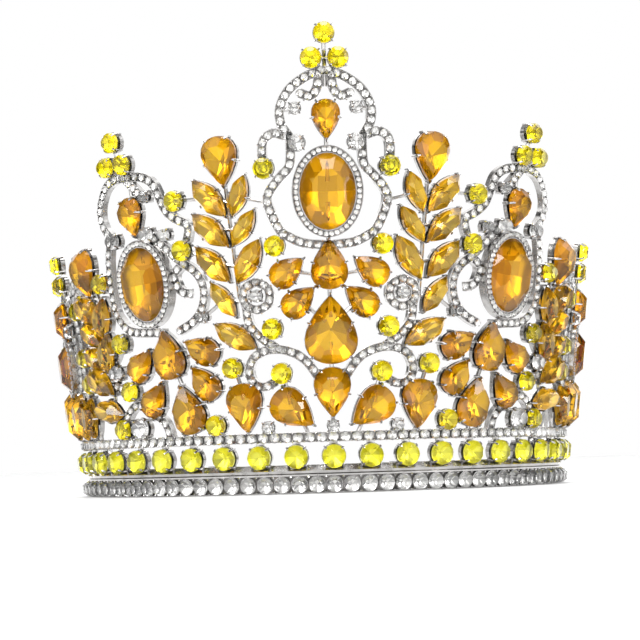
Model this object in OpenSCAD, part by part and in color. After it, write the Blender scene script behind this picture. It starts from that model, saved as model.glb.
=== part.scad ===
// Pageant crown: a pierced, stone-set metal wall on a round band, closed at the back by two flat straps.
// Millimetres. The crown stands on the band's lower rim at z = 0 and its front faces -Y.
// It is drawn round the band's axis, then moved so that the middle of its box lies over the origin.
// Places on the wall are an angle from the front and a share, in percent, of the field above the band.

/* [Crown] */
// Inner radius of the wall at the base
base_r = 72; // [66:0.5:80]
// Height of the field of scrolls and stones above the band
field_h = 112; // [106:1:124]
// Outward lean of the wall, in degrees
lean = 7; // [5:0.5:9]
// Angle from the front to each end of the band
band_end = 110; // [104:1:114]

/* [Band] */
// Height of the lower rail, which carries the row of clear stones
lower_rail_h = 5.6; // [5.4:0.1:7]
// Height of the smooth ribbon above the lower rail
ribbon_h = 2.4; // [1.6:0.1:3]
// Height of the open windows between ribbon and upper rail
window_h = 6.4; // [6:0.1:8]
// Height of the upper rail
upper_rail_h = 2.8; // [2:0.1:4]
// Thickness of the rails
rail_t = 1.6; // [1.2:0.1:1.8]
// Width of the posts between the windows
post_w = 2.4; // [1.6:0.1:3]

/* [Scrolls and settings] */
// Width of the scroll bands
scroll_w = 2.7; // [2:0.1:3.2]
// Thickness of the scroll bands
scroll_t = 1.6; // [1.2:0.1:1.8]
// Width of the plain stems that carry the settings
stem_w = 1.6; // [1.2:0.1:2.4]
// Thickness of the plain stems
stem_t = 1.3; // [1:0.1:1.6]
// Thickness of the setting plates under the stones
plate_t = 2; // [1.9:0.1:2.6]
// Rim of a setting plate round its stone
plate_rim = 0.5; // [0.3:0.1:0.8]
// Clearance between a stone and its plate
seat_gap = 0.15; // [0.1:0.05:0.3]

/* [Stones] */
// Length of the oval stones
oval_l = 21; // [19:0.5:22]
// Width of the oval stones
oval_w = 15.4; // [14:0.2:16]
// Length of the oval stones in the side panels
side_oval_l = 15; // [13:0.5:16]
// Width of the oval stones in the side panels
side_oval_w = 11; // [9:0.2:12]
// Length of the large drop under the middle oval
drop_l = 19; // [17:0.5:19.5]
// Width of the large drop
drop_w = 14.6; // [13:0.2:15]
// Length of the pear stones
pear_l = 14; // [12:0.2:14.4]
// Width of the pear stones
pear_w = 10.2; // [9:0.2:10.6]
// Length of the small pear stones
bud_l = 11.2; // [10:0.2:11.6]
// Width of the small pear stones
bud_w = 7.8; // [7:0.2:8.2]
// Length of the broad leaf stones
leaf_l = 14; // [12:0.2:14.4]
// Width of the broad leaf stones
leaf_w = 6.4; // [5:0.2:6.8]
// Length of the slim leaf stones
slim_l = 12; // [10:0.2:12.4]
// Width of the slim leaf stones
slim_w = 5; // [4:0.2:5.4]
// Diameter of the round yellow stones in the field
yellow_d = 5.8; // [5:0.1:6]
// Diameter of the round yellow stones in the band
row_yellow_d = 6.6; // [6:0.1:6.8]
// Diameter of the clear stones in the band's lower rail
row_clear_d = 4.3; // [3.8:0.1:4.4]
// Diameter of the large clear stones
big_clear_d = 6; // [5:0.1:6.2]
// Diameter of the middle clear stones
clear_d = 4.6; // [4:0.1:4.8]
// Diameter of the small clear stones
small_clear_d = 3.4; // [3:0.1:3.6]

/* [Back straps] */
// Width of the flat straps
strap_w = 3.6; // [3:0.1:4.4]
// Thickness of the flat straps
strap_t = 0.6; // [0.5:0.05:0.8]
// Height of the straps' lower edge above the base
strap_z = 3.6; // [2:0.1:4]
// Clearance between strap, slot and clip
strap_gap = 0.2; // [0.15:0.05:0.4]
// Angle from the front, round its own side, to the left strap's end
left_reach = 204; // [196:1:212]
// Angle from the front, round its own side, to the right strap's end
right_reach = 212; // [200:1:216]
// Length of the lug at each end of the band, in degrees
lug_w = 7; // [6:0.5:9]
// Width of the slot in the lug
slot_w = 1.6; // [1.4:0.1:2]

/* [Hidden] */
ribbon_z = lower_rail_h;
upper_z = lower_rail_h + ribbon_h + window_h;
band_top = upper_z + upper_rail_h;
row_drop = 0.7;
row_z = upper_z - window_h / 2 - row_drop;
seat = plate_t + seat_gap;
girdle_h = 1;
crown_rise = 0.6;
crown_share = 0.16;
table_share = 0.56;
pear_peak = 0.77;
rail_steps = 28;
ring_points = 10;
plate_root = 0.4;
layer_step = 0.06;
post_root = 0.25;
post_inset = 0.1;
post_top = 0.4;
end_post_w = 1.6;
lug_root = 1.5;
lug_edge = 2;
lug_inset = 0.1;
lug_steps = 4;
top_share = 97;
foot_share = 1.4;
sleeve_a = 3;
sleeve_lip = 0.3;
bend_edge = 0.1;
fold_a = 3;
slot_a = band_end + lug_w / 2;
round_steps = 180;
row_clear_gap = 0.45;
row_yellow_gap = 3.6;
row_margin = 3;

sleeve_gap = strap_gap * 0.75;
sleeve_t = strap_t + sleeve_gap;
strap_r = base_r + strap_z * tan(lean) - strap_gap - strap_t;
left_r = strap_r - strap_t - strap_gap;
fold_r = base_r + (strap_z + strap_w) * tan(lean) + rail_t + strap_gap;
// How far the band's axis lies behind the middle of the crown's box
foremost = wall_r(field_z(top_share)) + seat + girdle_h + crown_rise + crown_share * yellow_d;
axis_y = (foremost - strap_r - strap_t) / 2;

// A place in the field: angle from the front, share of the field's height
function field_z(share) = band_top + share / 100 * field_h;
function wall_r(z) = base_r + z * tan(lean);
function wall_point(a, z, out) =
    [(wall_r(z) + out) * sin(a), -(wall_r(z) + out) * cos(a), z];
// Distance out of the inner face of one scroll or stem, so that crossing ones lap and their faces stay apart
function layer(i) = layer_step * (i % 4);
function wall_normal(a) = [cos(lean) * sin(a), -cos(lean) * cos(a), -sin(lean)];

// Stones on the middle line: name, cut, angle, share, turn of the tip from upright
CENTRE = [
    ["centre_oval", "oval", 0, 58.6, 0],
    ["centre_top_bud", "bud", 0, 76, 180],
    ["centre_upper_pear", "pear", 0, 41, 0],
    ["centre_drop", "drop", 0, 25, 0],
    ["centre_low_pear", "pear", 0, 9.6, 180],
];
// Main stones of each side, given for the right side in the same columns
MAIN = [
    ["upper_petal", "bud", 8, 39.6, 54],
    ["lower_petal", "bud", 6, 32.2, 50],
    ["inner_base_pear", "pear", 8, 5.6, 128],
    ["outer_base_pear", "pear", 18.2, 6.4, 175],
    ["spray_pear", "pear", 20, 67.2, 174],
    ["mid_oval", "oval", 39.4, 38.8, -6],
    ["mid_top_bud", "bud", 41, 56, 170],
    ["mid_upper_pear", "pear", 35, 20.6, -8],
    ["mid_inner_petal_high", "bud", 26.9, 21.4, -62],
    ["mid_inner_petal_low", "bud", 26.8, 13.2, -36],
    ["mid_outer_petal_high", "bud", 42.6, 18.6, 44],
    ["mid_outer_petal_low", "bud", 39.8, 9.6, 36],
    ["mid_low_pear", "pear", 31.4, 6.6, -13],
    ["side_spray_pear", "pear", 58.8, 43.8, 168],
    ["side_oval", "side_oval", 79, 20.4, -4],
    ["side_top_bud", "bud", 79.4, 33.4, 172],
];
// Leaf stones of each side
LEAVES = [
    ["leaf", "slim", 16.8, 58.6, 20],
    ["leaf", "leaf", 22.7, 58.4, -40],
    ["leaf", "slim", 16.2, 50.6, 34],
    ["leaf", "leaf", 22.9, 50.6, -46],
    ["leaf", "leaf", 15.6, 42.4, 30],
    ["leaf", "leaf", 22.9, 42.2, -42],
    ["leaf", "slim", 21.2, 33.4, -34],
    ["leaf", "leaf", 19.2, 24.2, -58],
    ["leaf", "leaf", 59.1, 34.2, -46],
    ["leaf", "slim", 53.3, 31.4, 6],
    ["leaf", "slim", 58.2, 27.6, -52],
    ["leaf", "slim", 53, 22.2, 6],
    ["leaf", "slim", 57.8, 21.4, -52],
    ["leaf", "leaf", 57.2, 15.2, -54],
    ["leaf", "leaf", 55.2, 7.4, -80],
    ["leaf", "slim", 64.4, 6, 4],
    ["leaf", "leaf", 70.4, 6.6, -6],
    ["leaf", "leaf", 79, 6.8, 0],
    ["leaf", "leaf", 88, 8.6, 4],
];
// Yellow stones of each side: angle, share
YELLOWS = [
    [2.4, 91],
    [11.8, 64.8],
    [10.4, 45.8],
    [11.6, 25.6],
    [10.2, 14.6],
    [20.4, 16.4],
    [25, 2.4],
    [44.4, 75.4],
    [46.6, 69.4],
    [42, 69.4],
    [30.4, 58.6],
    [29.6, 46.2],
    [53.2, 40.4],
    [48.4, 24.4],
    [47, 12],
    [50.8, 2.4],
    [79.6, 49],
    [77.2, 43.2],
    [82, 43.2],
    [65.6, 34.6],
    [64.7, 22],
    [63.2, 15],
    [88.4, 25],
    [95, 6],
];
// Clear stones of each side: cut, angle, share
CLEARS = [
    ["clear", 5.4, 70.6],
    ["small_clear", 5.6, 79],
    ["small_clear", 14.6, 33.8],
    ["small_clear", 13.6, 1.4],
    ["clear", 37.6, 51],
    ["clear", 47, 50.6],
    ["small_clear", 37.2, 60.6],
    ["small_clear", 33.2, 50.6],
    ["small_clear", 26.2, 29.4],
    ["clear", 51, 17],
    ["big_clear", 45, 2.5],
    ["clear", 73.2, 30],
];

// Scrolls of the middle panel, as angle and share, for the right side
CENTRE_SCROLLS = [
    [[0.6, 88], [3.6, 86.4], [6.6, 83.4], [8.3, 79.2], [8.2, 75.4], [6.8, 72.2]],
    [[1.2, 87], [1.4, 84], [2.6, 81.8], [4.6, 82.6]],
    [[7.6, 72.4], [9.8, 73.2], [11.6, 71.6], [12, 68.4], [11.8, 64.8]],
    [[6.6, 72], [6.9, 65.4], [8.6, 62.8], [10.8, 59.4], [11.4, 56.2], [9.4, 49.8], [7.2, 47.6],
     [4.6, 46.2], [0.4, 45.6]],
    [[2.8, 13.4], [5, 17.2], [7.8, 19.6], [11.9, 20.6], [15.6, 19], [17, 15.6], [16.2, 12.4],
     [14, 11.4], [11.6, 12.6]],
    [[16.8, 31.8], [16.4, 27], [14, 23.4], [10.6, 20.6]],
    [[14.6, 37.2], [17, 35.6], [17, 32], [14.6, 30.4], [12.2, 32], [12.2, 35.6], [14.6, 37.2]],
];
MID_SCROLLS = [
    [[43.6, 66.6], [47.4, 65], [49.6, 62], [50.8, 58.4], [50.2, 54.4], [48, 51.4]],
    [[44.8, 66.2], [40.4, 66], [37.4, 65.4], [35.2, 63.4], [34, 60], [32.8, 56.6], [30.6, 54.2],
     [28, 52.2], [28.6, 48.4]],
    [[42.4, 66], [38, 60.4]],
    [[37.2, 51.4], [30.6, 43.8], [27.8, 41.4], [26, 38.4], [25.6, 34.8], [26.6, 31],
     [28.8, 28.2], [32, 26.4]],
    [[29.8, 43], [32, 40.4], [31, 36.4], [28.6, 35.4]],
    [[48.4, 51.8], [50, 45], [49.8, 34.4], [48.4, 30.4], [45, 27.2], [37.8, 26.4]],
    [[51.6, -1], [50.4, 4.2], [48, 7.4], [44.4, 8.2], [38.4, 3.8], [37, -1]],
    [[49.2, 25], [51.4, 21.4], [53.6, 18.6], [53.4, 15.4], [51.4, 13], [48.6, 13.4]],
];
SIDE_SCROLLS = [
    [[79.6, 41], [76.6, 39.8], [74.4, 36.4], [73.6, 32.6], [71.6, 24], [71, 19.6],
     [72.4, 15], [75.6, 11.6], [79, 11]],
    [[79.6, 41], [82.6, 39.8], [84.8, 36.4], [85.6, 32.6], [86, 28.6], [87.4, 19.6],
     [86, 15], [82.6, 11.6], [79, 11]],
    [[67.2, 42], [69, 37.6], [69.4, 33], [67.8, 28.4], [67.8, 17], [67.4, -1]],
    [[64.4, 40], [67.2, 42], [70.4, 40.6], [71.8, 36], [73.4, 31.6]],
    [[88.4, 28], [91.4, 22], [93.2, 15], [101, 7], [104, -1]],
];
// Plain stems between settings: those on the middle line, then those of the right side
MIDDLE_STEMS = [
    [[0, 97], [0, 84]],
    [[-2.4, 91], [2.4, 91]],
    [[0, 74], [0, 61]],
    [[0, 56], [0, 42]],
    [[0, 39], [0, 28]],
    [[0, 22], [0, 11]],
    [[0, 8], [0, -1]],
];
SIDE_STEMS = [
    [[5.6, 79], [8.4, 78.6]],
    [[8, 39.6], [0, 38]],
    [[6, 32.2], [1, 27]],
    [[10.2, 14.6], [8.6, 7]],
    [[7.4, 5], [5, -1]],
    [[10.4, 45.8], [9.2, 50.2]],
    [[11.6, 25.6], [14.2, 22.6]],
    [[14.6, 33.8], [18.6, 33]],
    [[19.8, 64.6], [19, 48], [18.2, 33]],
    [[11.2, 56.4], [16.6, 57.8], [19.2, 55.6]],
    [[18.4, 8.6], [20.4, 16.4]],
    [[15.6, 42.4], [18.7, 41.4], [23.4, 43], [29.6, 46.2], [30.8, 43.6]],
    [[18.4, 32.6], [21.2, 33.2], [26.2, 29.4]],
    [[16.2, 24.6], [19.2, 24.2]],
    [[44.4, 75.4], [44.4, 65.6]],
    [[46.6, 69.4], [42, 69.4]],
    [[41.6, 66], [41, 58]],
    [[40.8, 54], [39.6, 43]],
    [[39.3, 34], [38.8, 25.6]],
    [[37.4, 26.4], [35.2, 22.4]],
    [[34.8, 18.4], [31.8, 9]],
    [[31.2, 5], [31, -1]],
    [[33.2, 50.6], [37.6, 51]],
    [[16.2, 50.6], [22, 50.4]],
    [[27.4, 21], [34.4, 18.6]],
    [[27.2, 12.6], [31.2, 8]],
    [[42, 18.2], [35.6, 18.8]],
    [[33.6, 58.2], [30.4, 58.6], [23.4, 58.4], [19.2, 57]],
    [[51, 17], [53.6, 17.4]],
    [[50, 40], [53.2, 40.2], [58.4, 42.6]],
    [[58.4, 41.6], [55.2, 31], [54.6, -1]],
    [[69.2, 34.8], [59.4, 34.6]],
    [[79.6, 49], [79.5, 35]],
    [[79.4, 31], [79.1, 22]],
    [[79, 18], [79, 8]],
    [[63.2, 15], [67.7, 15]],
    [[64.7, 22], [67.6, 22.4]],
    [[64.4, 4], [64.4, -1]],
    [[70.4, 4], [70.4, -1]],
    [[73.2, 30], [78.2, 30]],
    [[88, 6], [88, -1]],
    [[95, 6], [95, -1]],
];

SIDES = [["right", 1], ["left", -1]];
SCROLLS = concat(CENTRE_SCROLLS, MID_SCROLLS, SIDE_SCROLLS);

// Lengths and widths of the stones by kind
function stone_size(kind) =
    kind == "oval" ? [oval_l, oval_w] :
    kind == "side_oval" ? [side_oval_l, side_oval_w] :
    kind == "drop" ? [drop_l, drop_w] :
    kind == "pear" ? [pear_l, pear_w] :
    kind == "bud" ? [bud_l, bud_w] :
    kind == "leaf" ? [leaf_l, leaf_w] :
    kind == "slim" ? [slim_l, slim_w] :
    kind == "yellow" ? [yellow_d, yellow_d] :
    kind == "row_yellow" ? [row_yellow_d, row_yellow_d] :
    kind == "row_clear" ? [row_clear_d, row_clear_d] :
    kind == "big_clear" ? [big_clear_d, big_clear_d] :
    kind == "clear" ? [clear_d, clear_d] :
    [small_clear_d, small_clear_d];

// Outlines with the tip up: t runs once round from the tip
function pear_outline(l, w, n) =
    [for (k = [0:n - 1]) let (t = 360 * k / n) [-w / 2 * sin(t) * sin(t / 2) / pear_peak, l / 2 * cos(t)]];
function leaf_outline(l, w, n) =
    [for (k = [0:n - 1]) let (t = 360 * k / n) [-w / 2 * sin(t) * abs(sin(t)), l / 2 * cos(t)]];
function oval_outline(l, w, n) =
    [for (k = [0:n - 1]) let (t = 360 * (k + 0.5) / n) [-w / 2 * sin(t), l / 2 * cos(t)]];
function outline(kind, n, grow = 0) =
    let (s = stone_size(kind) + [2 * grow, 2 * grow])
    kind == "pear" || kind == "bud" || kind == "drop" ? pear_outline(s[0], s[1], n) :
    kind == "leaf" || kind == "slim" ? leaf_outline(s[0], s[1], n) :
    oval_outline(s[0], s[1], n);

// Solid through a row of rings of points
module sweep(rings) {
    m = len(rings[0]);
    n = len(rings);
    polyhedron(
        points = [for (ring = rings) each ring],
        faces = [
            [for (j = [0:m - 1]) j],
            [for (j = [0:m - 1]) n * m - 1 - j],
            for (i = [0:n - 2]) for (j = [0:m - 1])
                let (k = (j + 1) % m) [i * m + j, (i + 1) * m + j, (i + 1) * m + k, i * m + k],
        ]
    );
}

// Half-width step to the side of a path at its point i
function side_step(points, a, i, w) =
    let (
        along = points[min(i + 1, len(points) - 1)] - points[max(i - 1, 0)],
        across = cross(wall_normal(a), along)
    )
    across / norm(across) * w / 2;

// Flat scroll band of four sides along a path of angles and shares
module wall_band(path, out) {
    points = [for (p = path) wall_point(p[0], field_z(p[1]), out)];
    sweep([
        for (i = [0:len(points) - 1])
            let (
                rise = wall_normal(path[i][0]) * scroll_t,
                aside = side_step(points, path[i][0], i, scroll_w)
            )
            [points[i] - aside, points[i] + aside, points[i] + aside + rise, points[i] - aside + rise],
    ]);
}

// Plain stem of three sides along a path of angles and shares
module wall_stem(path, out) {
    points = [for (p = path) wall_point(p[0], field_z(p[1]), out)];
    sweep([
        for (i = [0:len(points) - 1])
            let (
                rise = wall_normal(path[i][0]) * stem_t,
                aside = side_step(points, path[i][0], i, stem_w)
            )
            [points[i] - aside, points[i] + aside, points[i] + rise],
    ]);
}

// Level bar round the wall between two heights and two distances out from its inner face
module rail(z0, z1, out0, out1, a0, a1, steps) {
    sweep([
        for (i = [0:steps])
            let (a = a0 + (a1 - a0) * i / steps)
            [
                wall_point(a, z0, out0),
                wall_point(a, z1, out0),
                wall_point(a, z1, out1),
                wall_point(a, z0, out1),
            ]
    ]);
}

// Moves a piece drawn flat at the origin to its place on the wall
module on_wall(a, z, turn, out) {
    rotate([0, 0, a]) translate([0, -wall_r(z), z]) rotate([90 + lean, 0, 0])
        rotate([0, 0, turn]) translate([0, 0, out]) children();
}

// Cut stone: an outline with a girdle, one facet above each side and a flat table
module cut_stone(shape) {
    n = len(shape);
    reach = 4 * norm(shape[0]);
    crown_h = crown_share * norm(shape[0] - shape[floor(n / 2)]) + crown_rise;
    intersection() {
        linear_extrude(girdle_h + crown_h) polygon(shape);
        intersection_for (i = [0:n - 1]) {
            side = shape[(i + 1) % n] - shape[i];
            facing = [side[1], -side[0]] / norm(side);
            d = shape[i] * facing;
            rotate([0, 0, atan2(facing[1], facing[0])]) translate([d, 0, girdle_h])
                rotate([0, -atan((1 - table_share) * d / crown_h), 0])
                translate([-reach, -reach, -reach]) cube([reach, 2 * reach, 2 * reach]);
        }
    }
}
module stone(row, side) {
    on_wall(side * row[2], field_z(row[3]), side * row[4], seat)
        cut_stone(outline(row[1], ring_points));
}
module round_stone(kind, a, z, out) {
    on_wall(a, z, 0, out) cut_stone(outline(kind, 8));
}
function plate_sides(kind) =
    kind == "leaf" || kind == "slim" ? 4 : kind == "oval" || kind == "side_oval" ? 6 : 5;
module plate(row, side) {
    on_wall(side * row[2], field_z(row[3]), side * row[4], -plate_root)
        linear_extrude(plate_root + plate_t) polygon(outline(row[1], plate_sides(row[1]), plate_rim));
}
module round_plate(d, a, z) {
    on_wall(a, z, 0, -plate_root / 2) cylinder(h = plate_root / 2 + plate_t, d = d, $fn = 4);
}

// Steps round the band from stone to stone, in degrees, and how many stones fit on each side of the front
function row_step(d, gap, z) = (d + gap) / wall_r(z) * 180 / PI;
row_clear_step = row_step(row_clear_d, row_clear_gap, lower_rail_h / 2);
row_clear_n = floor((band_end - row_margin) / row_clear_step);
row_yellow_step = row_step(row_yellow_d, row_yellow_gap, row_z);
row_yellow_n = floor((band_end - row_margin) / row_yellow_step);

// Upright post of the band between two heights
module post(a, w, z0, z1) {
    hull() {
        for (z = [z0, z1 - post_top])
            rotate([0, 0, a]) translate([-w / 2, -wall_r(z) - rail_t + post_inset, z])
                cube([w, rail_t - post_inset - post_root, post_top]);
    }
}
// End of the band with the slot that holds a strap's folded end
module lug(side) {
    slot_z0 = strap_z - strap_gap;
    slot_z1 = strap_z + strap_w + strap_gap;
    start = side > 0 ? band_end - lug_root : -band_end - lug_w;
    difference() {
        rail(
            strap_z - lug_edge, strap_z + strap_w + lug_edge,
            lug_inset, rail_t - lug_inset,
            start, start + lug_w + lug_root, lug_steps
        );
        rotate([0, 0, side * slot_a])
            translate([-slot_w / 2, -wall_r(slot_z1) - 2 * rail_t, slot_z0])
            cube([slot_w, 4 * rail_t, slot_z1 - slot_z0]);
    }
}

module crown_frame() color([0.78, 0.78, 0.8]) {
    rail(0, ribbon_z + ribbon_h, 0, rail_t, -band_end, band_end, rail_steps);
    rail(upper_z, band_top, 0, rail_t, -band_end, band_end, rail_steps);
    for (i = [-row_yellow_n:row_yellow_n])
        post(i * row_yellow_step, post_w, ribbon_z + ribbon_h / 2, upper_z + upper_rail_h / 2);
    for (row = CENTRE) plate(row, 1);
    for (i = [0:len(MIDDLE_STEMS) - 1]) wall_stem(MIDDLE_STEMS[i], layer(i + 2));
    round_plate(yellow_d, 0, field_z(top_share));
    round_plate(small_clear_d, 0, field_z(foot_share));
    for (entry = SIDES) {
        side = entry[1];
        lug(side);
        post(side * band_end, end_post_w, 0, band_top);
        for (row = concat(MAIN, LEAVES)) plate(row, side);
        for (row = YELLOWS) round_plate(yellow_d, side * row[0], field_z(row[1]));
        for (row = CLEARS) round_plate(stone_size(row[0])[0], side * row[1], field_z(row[2]));
        for (i = [0:len(SCROLLS) - 1])
            wall_band([for (p = SCROLLS[i]) [side * p[0], p[1]]], layer(i + side / 2));
        for (i = [0:len(SIDE_STEMS) - 1])
            wall_stem([for (p = SIDE_STEMS[i]) [side * p[0], p[1]]], layer(i + 0.25 + side / 4));
    }
}

// Flat bar bent round the axis, from angle a0 to a1, on the strap's level
module bent_bar(r, t, a0, a1) {
    rotate([0, 0, a0 - 90]) rotate_extrude(angle = a1 - a0, $fn = round_steps)
        translate([r, strap_z]) square([t, strap_w]);
}
// Strap drawn for the right side: its end is folded round the lug's bar, and it runs to its reach
module strap(r, reach) {
    start = slot_a - strap_t / fold_r * 180 / PI;
    bent_bar(r, strap_t, start, reach);
    rotate([0, 0, slot_a]) translate([-strap_t / 2, -fold_r - strap_t / 2, strap_z + bend_edge])
        cube([strap_t, fold_r - r, strap_w - 2 * bend_edge]);
    bent_bar(fold_r, strap_t, start, slot_a + fold_a);
}
// Sleeve at the end of a strap, round the other strap with its inner face at radius r
module sleeve(r, reach) {
    rotate([0, 0, reach - sleeve_a - 90])
    rotate_extrude(angle = sleeve_a + sleeve_lip, $fn = round_steps) difference() {
        translate([r - sleeve_gap - sleeve_t, strap_z - strap_gap - sleeve_t])
            square([strap_t + 2 * sleeve_gap + 2 * sleeve_t, strap_w + 2 * strap_gap + 2 * sleeve_t]);
        translate([r - sleeve_gap, strap_z - strap_gap])
            square([strap_t + 2 * sleeve_gap, strap_w + 2 * strap_gap]);
    }
}
module right_strap() color([0.6, 0.6, 0.62]) {
    strap(strap_r, right_reach);
    sleeve(left_r, right_reach);
}
module left_strap() color([0.6, 0.6, 0.62]) mirror([1, 0, 0]) {
    strap(left_r, left_reach);
    sleeve(strap_r, left_reach);
}

module amber() color([0.85, 0.55, 0.08]) children();
module yellow() color([0.93, 0.88, 0.12]) children();
module clear() color([0.9, 0.9, 0.92]) children();

module leaf_stones() amber() for (entry = SIDES) for (row = LEAVES) stone(row, entry[1]);
module yellow_stones() yellow() {
    round_stone("yellow", 0, field_z(top_share), seat);
    for (entry = SIDES) for (row = YELLOWS) round_stone("yellow", entry[1] * row[0], field_z(row[1]), seat);
}
module clear_stones() clear() {
    round_stone("small_clear", 0, field_z(foot_share), seat);
    for (entry = SIDES) for (row = CLEARS) round_stone(row[0], entry[1] * row[1], field_z(row[2]), seat);
}
module yellow_row() yellow() for (i = [-row_yellow_n:row_yellow_n])
    round_stone("row_yellow", i * row_yellow_step, row_z, rail_t + seat_gap);
module clear_row() clear() for (i = [-row_clear_n:row_clear_n])
    round_stone("row_clear", i * row_clear_step, lower_rail_h / 2, rail_t + seat_gap);

module placed() translate([0, axis_y, 0]) children();

placed() crown_frame();
placed() left_strap();
placed() right_strap();
for (row = CENTRE) placed() amber() stone(row, 1);
for (entry = SIDES) for (row = MAIN)
    placed() amber() stone(row, entry[1]);
placed() leaf_stones();
placed() yellow_stones();
placed() yellow_row();
placed() clear_stones();
placed() clear_row();
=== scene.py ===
import math

import bmesh
import bpy
import numpy as np
from mathutils import Matrix, Quaternion, Vector


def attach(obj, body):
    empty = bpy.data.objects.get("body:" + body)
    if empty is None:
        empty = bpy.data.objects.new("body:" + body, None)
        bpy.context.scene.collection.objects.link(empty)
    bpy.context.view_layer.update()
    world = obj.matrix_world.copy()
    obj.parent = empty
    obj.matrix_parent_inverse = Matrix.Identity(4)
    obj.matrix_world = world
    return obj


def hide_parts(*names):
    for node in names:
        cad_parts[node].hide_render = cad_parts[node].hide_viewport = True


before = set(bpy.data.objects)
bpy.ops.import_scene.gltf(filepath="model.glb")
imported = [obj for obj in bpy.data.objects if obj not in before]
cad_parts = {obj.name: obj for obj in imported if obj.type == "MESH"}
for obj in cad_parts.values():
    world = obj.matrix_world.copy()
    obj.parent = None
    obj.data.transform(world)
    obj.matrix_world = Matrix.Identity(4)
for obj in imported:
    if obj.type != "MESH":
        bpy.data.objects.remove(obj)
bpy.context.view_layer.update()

MM = 0.001
luck = np.random.default_rng(7)

# Sizes of the crown in millimetres and degrees, as in the part's source
BASE_R = 72.0
AXIS_Y = 9.94359
LEAN = math.radians(7)
FIELD_H = 112.0
BAND_END = 110.0
LOWER_RAIL_H = 5.6
RIBBON_H = 2.4
WINDOW_H = 6.4
UPPER_RAIL_H = 2.8
UPPER_Z = LOWER_RAIL_H + RIBBON_H + WINDOW_H
BAND_TOP = UPPER_Z + UPPER_RAIL_H
ROW_DROP = 0.7
ROW_Z = UPPER_Z - WINDOW_H / 2 - ROW_DROP
ROW_CLEAR_GAP = 0.45
ROW_YELLOW_GAP = 3.6
ROW_MARGIN = 3
POST_W = 2.4
SCROLL_W = 2.7
SEAT = 2.15
RAIL_SEAT = 1.75
GIRDLE_H = 1.0
CROWN_RISE = 0.6
CROWN_SHARE = 0.16
TABLE_SHARE = 0.56
PEAR_PEAK = 0.77
LUG_ANGLE = 7.0
SLOT_W = 1.6
STRAP_Z = 3.6
STRAP_W = 3.6
STRAP_GAP = 0.2

# Sizes and steps of the finest metal and stones, which are set out here alone
LOWER_MID = LOWER_RAIL_H / 2
UPPER_MID = UPPER_Z + UPPER_RAIL_H / 2
TRAY_WALL = 0.2
RIM_H = 1.7
BED_INSET = 0.3
BAR_STEP = 2
SCROLL_STEP = 1.3
PAVE_STEP = 2.5
STEM_STEP = 2.5
RAIL_PAVE_STEP = 3.2
RAIL_PAVE_EACH_SIDE = 33
LUG_BAR_H = 1.8
LUG_LAP = 0.5
LUG_HALF_H = 2.1
HALO_GROW = 1.15
HALO_STEPS = 56
HALO_SEAT = 0.95
HALO_COUNTS = {"oval": 42, "side_oval": 32}
OUTLINE_STEPS = 720
CLAW_STEPS = 360
CLAW_SINK = 0.2
CUP_WALL = 0.15
CUP_RIM = -0.8
OVAL_CUP_RIM = 0.15
ROW_BEAD_INSET = 0.75
ROW_BEAD_OUT = 1.85
RAIL_BEAD_DOWN = 1.12
SCROLL_PAVE_OUT = 1.55
SCROLL_BEAD_ACROSS = 1.02
SCROLL_BEAD_OUT = 1.6
POST_LAP = 0.6
END_POST_FOOT = 0.25
SPLINE_PARTS = 12
SHARP_ANGLE = math.radians(38)

# Length and width of each stone
STONES = {
    "oval": (21, 15.4),
    "side_oval": (15, 11),
    "drop": (19, 14.6),
    "pear": (14, 10.2),
    "bud": (11.2, 7.8),
    "leaf": (14, 6.4),
    "slim": (12, 5),
    "yellow": (5.8, 5.8),
    "row_yellow": (6.6, 6.6),
    "row_clear": (4.3, 4.3),
    "big_clear": (6, 6),
    "clear": (4.6, 4.6),
    "small_clear": (3.4, 3.4),
}

# Stones on the middle line: name, cut, angle, share, turn of the tip from upright
CENTRE = [
    ("centre_oval", "oval", 0, 58.6, 0),
    ("centre_top_bud", "bud", 0, 76, 180),
    ("centre_upper_pear", "pear", 0, 41, 0),
    ("centre_drop", "drop", 0, 25, 0),
    ("centre_low_pear", "pear", 0, 9.6, 180),
]
# Main stones of each side, given for the right side
MAIN = [
    ("upper_petal", "bud", 8, 39.6, 54),
    ("lower_petal", "bud", 6, 32.2, 50),
    ("inner_base_pear", "pear", 8, 5.6, 128),
    ("outer_base_pear", "pear", 18.2, 6.4, 175),
    ("spray_pear", "pear", 20, 67.2, 174),
    ("mid_oval", "oval", 39.4, 38.8, -6),
    ("mid_top_bud", "bud", 41, 56, 170),
    ("mid_upper_pear", "pear", 35, 20.6, -8),
    ("mid_inner_petal_high", "bud", 26.9, 21.4, -62),
    ("mid_inner_petal_low", "bud", 26.8, 13.2, -36),
    ("mid_outer_petal_high", "bud", 42.6, 18.6, 44),
    ("mid_outer_petal_low", "bud", 39.8, 9.6, 36),
    ("mid_low_pear", "pear", 31.4, 6.6, -13),
    ("side_spray_pear", "pear", 58.8, 43.8, 168),
    ("side_oval", "side_oval", 79, 20.4, -4),
    ("side_top_bud", "bud", 79.4, 33.4, 172),
]
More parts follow.
